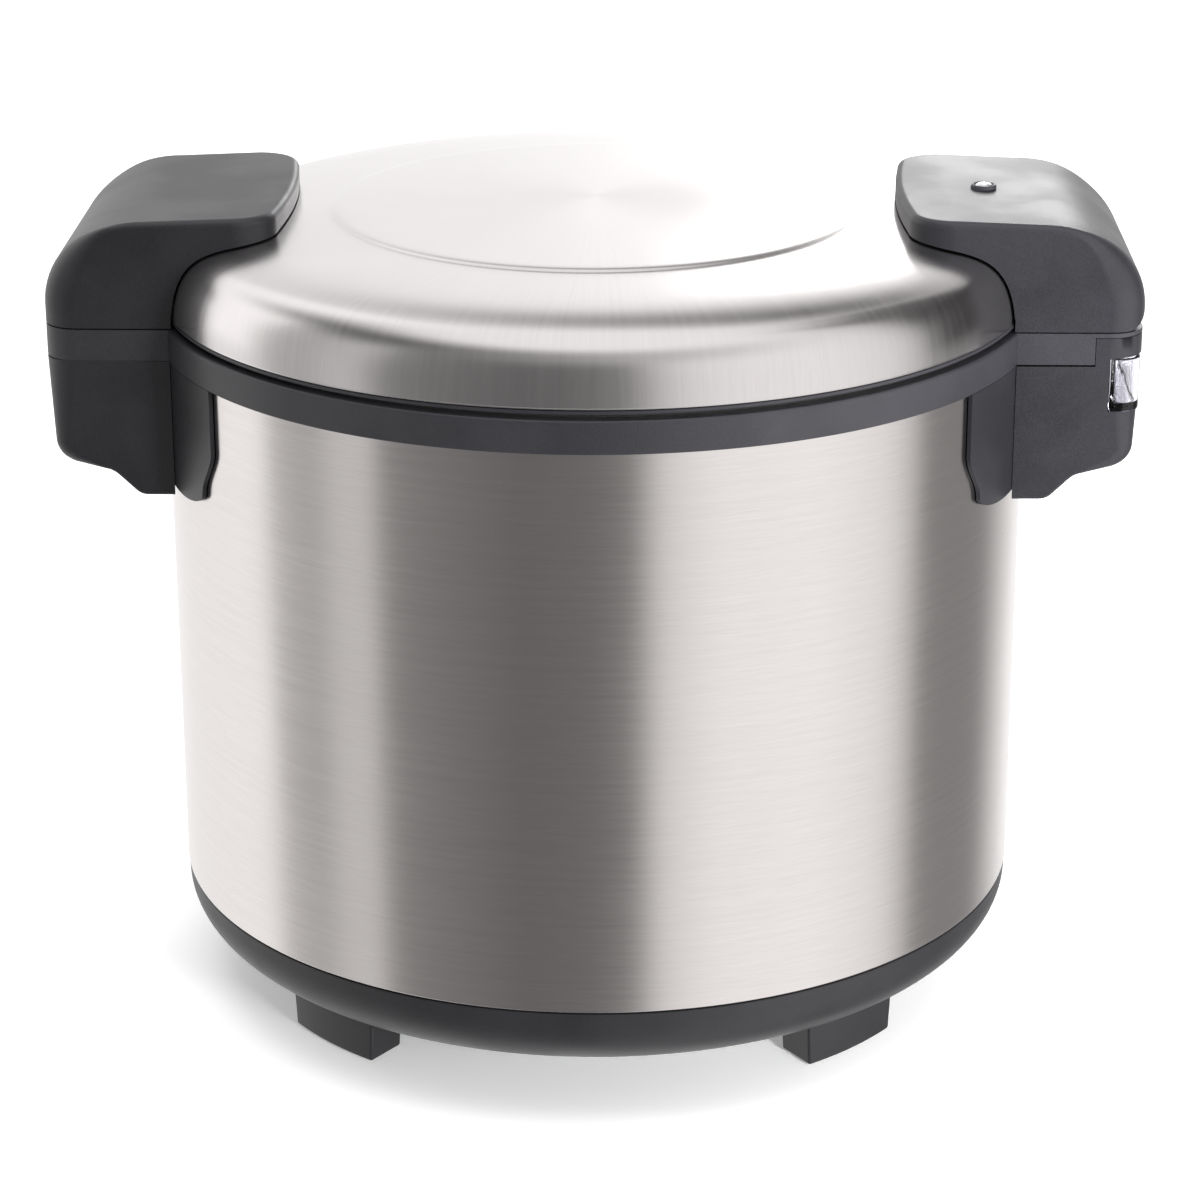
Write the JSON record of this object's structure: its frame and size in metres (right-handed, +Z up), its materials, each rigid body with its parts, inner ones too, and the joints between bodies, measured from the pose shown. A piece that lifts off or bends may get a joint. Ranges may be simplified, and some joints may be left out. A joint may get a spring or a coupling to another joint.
{
  "type": "rice cooker",
  "caption": "Round commercial rice cooker and warmer: brushed steel drum and domed lid, black base on block feet, black side blocks holding the hinge and the latch.",
  "frame": {"origin": "on the resting plane under the feet, on the drum's centre line", "axes": "+Z up, +X towards the hinge block at the rear, -X towards the latch block at the front"},
  "size_m": [0.498, 0.4056, 0.3835],
  "materials": {
    "brushed_steel": "brushed stainless steel",
    "black_plastic": "satin moulded plastic",
    "rubber": "matt rubber",
    "silicone": "translucent silicone",
    "spun_aluminium": "spun, satin",
    "cast_aluminium": "as cast",
    "spring_steel": "zinc plated",
    "glass_wool": "glass wool",
    "mica": "mica heater strip",
    "clear_plastic": "clear",
    "red_key": "gloss",
    "white_key": "satin",
    "amber_lens": "clear amber",
    "green_lens": "clear green"
  },
  "bodies": {
    "base": {"base_pan": "black_plastic", "base_screw_1": "spring_steel", "base_screw_2": "spring_steel", "base_screw_3": "spring_steel", "base_screw_4": "spring_steel", "foot_rear_right": "black_plastic", "foot_front_right": "black_plastic", "foot_front_left": "black_plastic", "foot_rear_left": "black_plastic", "foot_pad_rear_right": "rubber", "foot_pad_front_right": "rubber", "foot_pad_front_left": "rubber", "foot_pad_rear_left": "rubber", "drum_shell": "brushed_steel", "power_inlet": "black_plastic", "inner_liner": "spun_aluminium", "insulation_blanket": "glass_wool", "warming_band": "mica", "heater_plate": "cast_aluminium", "sensor_bracket": "spring_steel", "sensor_spring": "spring_steel", "top_ring": "black_plastic", "latch_catch": "brushed_steel", "saddle_bracket_rear": "black_plastic", "saddle_bracket_front": "black_plastic", "grip_housing_rear": "black_plastic", "grip_housing_front": "black_plastic", "bracket_screw_1": "spring_steel", "bracket_screw_2": "spring_steel", "bracket_screw_3": "spring_steel", "bracket_screw_4": "spring_steel", "control_bezel": "black_plastic", "lamp_cook": "amber_lens", "lamp_warm": "green_lens", "hinge_pin": "spring_steel", "hinge_spring": "spring_steel"},
    "lid": {"lid_shell": "brushed_steel", "lid_ring": "black_plastic", "lid_gasket": "silicone", "inner_lid": "spun_aluminium", "lid_insulation": "glass_wool", "rear_arm": "black_plastic", "front_arm": "black_plastic", "vent_collar": "black_plastic", "hook_pin": "spring_steel"},
    "latch_button": {"latch_button": "black_plastic"},
    "latch_hook": {"latch_hook": "spring_steel"},
    "vent_cap": {"vent_cap": "brushed_steel"},
    "inner_pot": {"inner_pot": "spun_aluminium"},
    "sensor_cap": {"sensor_cap": "spun_aluminium"},
    "power_rocker": {"power_rocker": "red_key"},
    "cook_button": {"cook_button": "white_key"},
    "dew_cup": {"dew_cup": "clear_plastic"}
  },
  "joints": [
    {"name": "lid_hinge", "type": "hinge", "parent": "base", "child": "lid", "pos_m": [0.24, 0, 0.3405], "axis": [0, 1, 0], "range_deg": [0, 90]},
    {"name": "latch_press", "type": "slide", "parent": "lid", "child": "latch_button", "axis": [1, 0, 0], "range_m": [0, 0.004], "stiffness_N_per_m": 400, "springref_m": -0.003},
    {"name": "latch_release", "type": "hinge", "parent": "lid", "child": "latch_hook", "pos_m": [-0.229, 0, 0.358], "axis": [0, -1, 0], "range_deg": [0, 9.3]},
    {"name": "vent_lift", "type": "slide", "parent": "lid", "child": "vent_cap", "axis": [0, 0, 1], "range_m": [0, 0.003]},
    {"name": "pot_lift", "type": "slide", "parent": "base", "child": "inner_pot", "axis": [0, 0, 1], "range_m": [0, 0.005]},
    {"name": "sensor_press", "type": "slide", "parent": "base", "child": "sensor_cap", "axis": [0, 0, -1], "range_m": [0, 0.002], "stiffness_N_per_m": 600, "springref_m": -0.003, "deforming": ["sensor_spring"]},
    {"name": "power_switch", "type": "hinge", "parent": "base", "child": "power_rocker", "pos_m": [-0.2427, -0.03, 0.3055], "axis": [0, 0, 1], "range_deg": [0, 14]},
    {"name": "cook_press", "type": "slide", "parent": "base", "child": "cook_button", "axis": [1, 0, 0], "range_m": [0, 0.0025], "stiffness_N_per_m": 300, "springref_m": -0.002},
    {"name": "cup_pull", "type": "slide", "parent": "base", "child": "dew_cup", "axis": [1, 0, 0], "range_m": [0, 0.06]}
  ],
  "couplings": [
    {"joint": "latch_release", "follows": "latch_press", "rad_per_m": 40}
  ]
}
